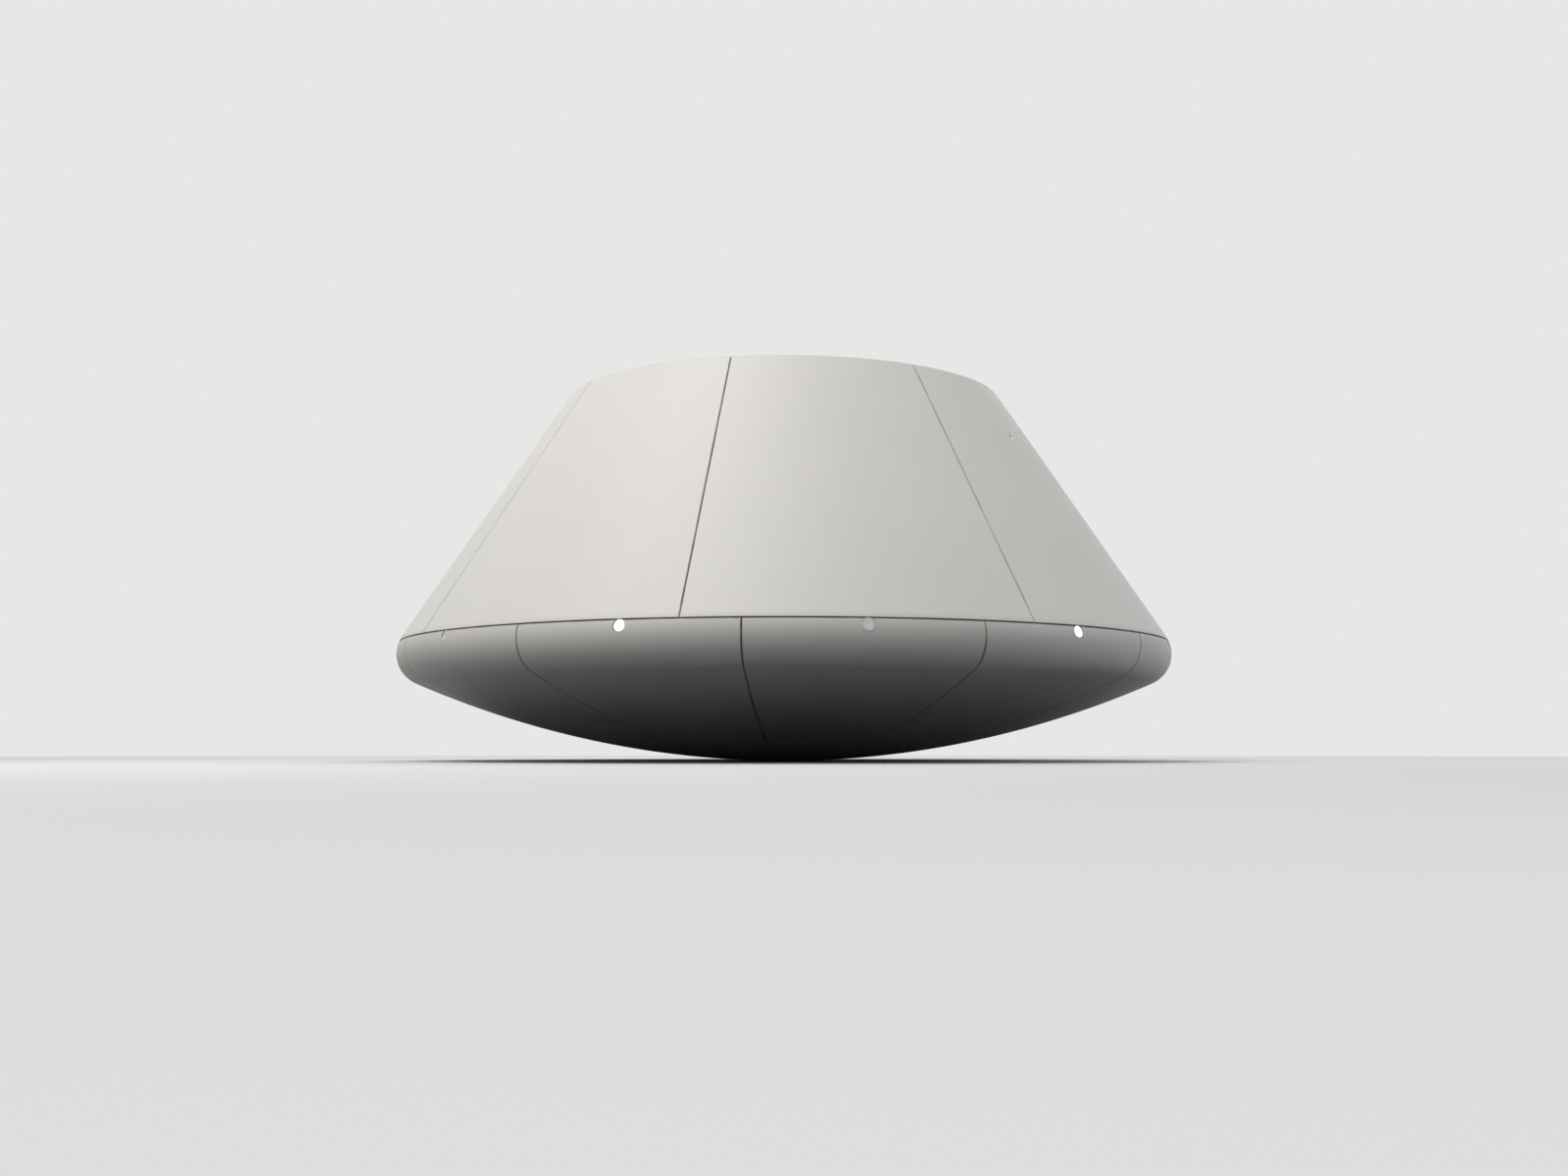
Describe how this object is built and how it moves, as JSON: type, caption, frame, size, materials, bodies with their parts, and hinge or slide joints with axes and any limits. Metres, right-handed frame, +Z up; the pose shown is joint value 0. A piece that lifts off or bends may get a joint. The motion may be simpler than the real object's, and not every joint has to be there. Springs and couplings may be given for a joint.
{
  "type": "crewed space capsule",
  "caption": "Blunt conical crew capsule on a dished heat shield, with a hinged side hatch, a hinged docking hatch and a hollow cabin.",
  "frame": {"origin": "lowest point of the heat shield, on the axis of the hull", "axes": "+Z up along the axis of the hull; -Y is the front, and the side hatch is at the rear, 10 degrees round from +Y"},
  "size_m": [4.9998, 4.9998, 2.4921],
  "materials": {
    "shield_coating": "pale satin thermal coating",
    "hull_coating": "pale satin thermal coating",
    "deck_coating": "pale satin coating",
    "seam_filler": "dark composite carrier behind the seams",
    "cabin_lining": "matt painted pressure wall",
    "floor_panel": "matt floor panels",
    "couch_shell": "moulded composite shell",
    "couch_fabric": "woven couch cover",
    "console_plastic": "dark moulded console",
    "window_glass": "clear pane",
    "polished_metal": "polished",
    "machined_metal": "machined satin",
    "deck_structure": "anodised grey"
  },
  "bodies": {
    "capsule": {"shield_carrier": "seam_filler", "shield_center": "shield_coating", "shield_gore_1": "shield_coating", "shield_gore_2": "shield_coating", "shield_gore_3": "shield_coating", "shield_gore_4": "shield_coating", "shield_gore_5": "shield_coating", "shield_gore_6": "shield_coating", "shield_gore_7": "shield_coating", "shield_gore_8": "shield_coating", "shield_gore_9": "shield_coating", "shield_gore_10": "shield_coating", "shield_gore_11": "shield_coating", "shield_gore_12": "shield_coating", "shoulder_plugs": "polished_metal", "back_panel_1": "hull_coating", "back_panel_2": "hull_coating", "back_panel_3": "hull_coating", "back_panel_4": "hull_coating", "back_panel_5": "hull_coating", "back_panel_6": "hull_coating", "back_panel_7": "hull_coating", "back_panel_8": "hull_coating", "vent_inserts": "polished_metal", "pressure_wall": "cabin_lining", "cabin_floor": "floor_panel", "crew_couches": "couch_shell", "couch_pads": "couch_fabric", "display_console": "console_plastic", "side_hinge_fixed": "machined_metal", "top_deck": "deck_structure", "bay_cover_1": "deck_coating", "bay_cover_2": "deck_coating", "bay_cover_3": "deck_coating", "docking_tunnel": "machined_metal", "docking_ring": "machined_metal", "dock_hinge_fixed": "machined_metal", "lifting_lugs": "machined_metal"},
    "side_hatch_body": {"side_hatch": "hull_coating", "hatch_window": "window_glass", "hatch_window_frame": "machined_metal", "hatch_handle": "machined_metal", "side_hinge_moving": "machined_metal"},
    "docking_hatch_body": {"docking_hatch": "deck_coating", "docking_hatch_wheel": "machined_metal", "dock_hinge_moving": "machined_metal"}
  },
  "joints": [
    {"name": "side_hatch_hinge", "type": "hinge", "parent": "capsule", "child": "side_hatch_body", "pos_m": [0.06136, 2.10222, 1.3875], "axis": [-0.0946, 0.5364, -0.8387], "range_deg": [0, 110]},
    {"name": "docking_hatch_hinge", "type": "hinge", "parent": "capsule", "child": "docking_hatch_body", "pos_m": [0, 0.48, 2.42706], "axis": [-1, 0, 0], "range_deg": [0, 100]}
  ]
}
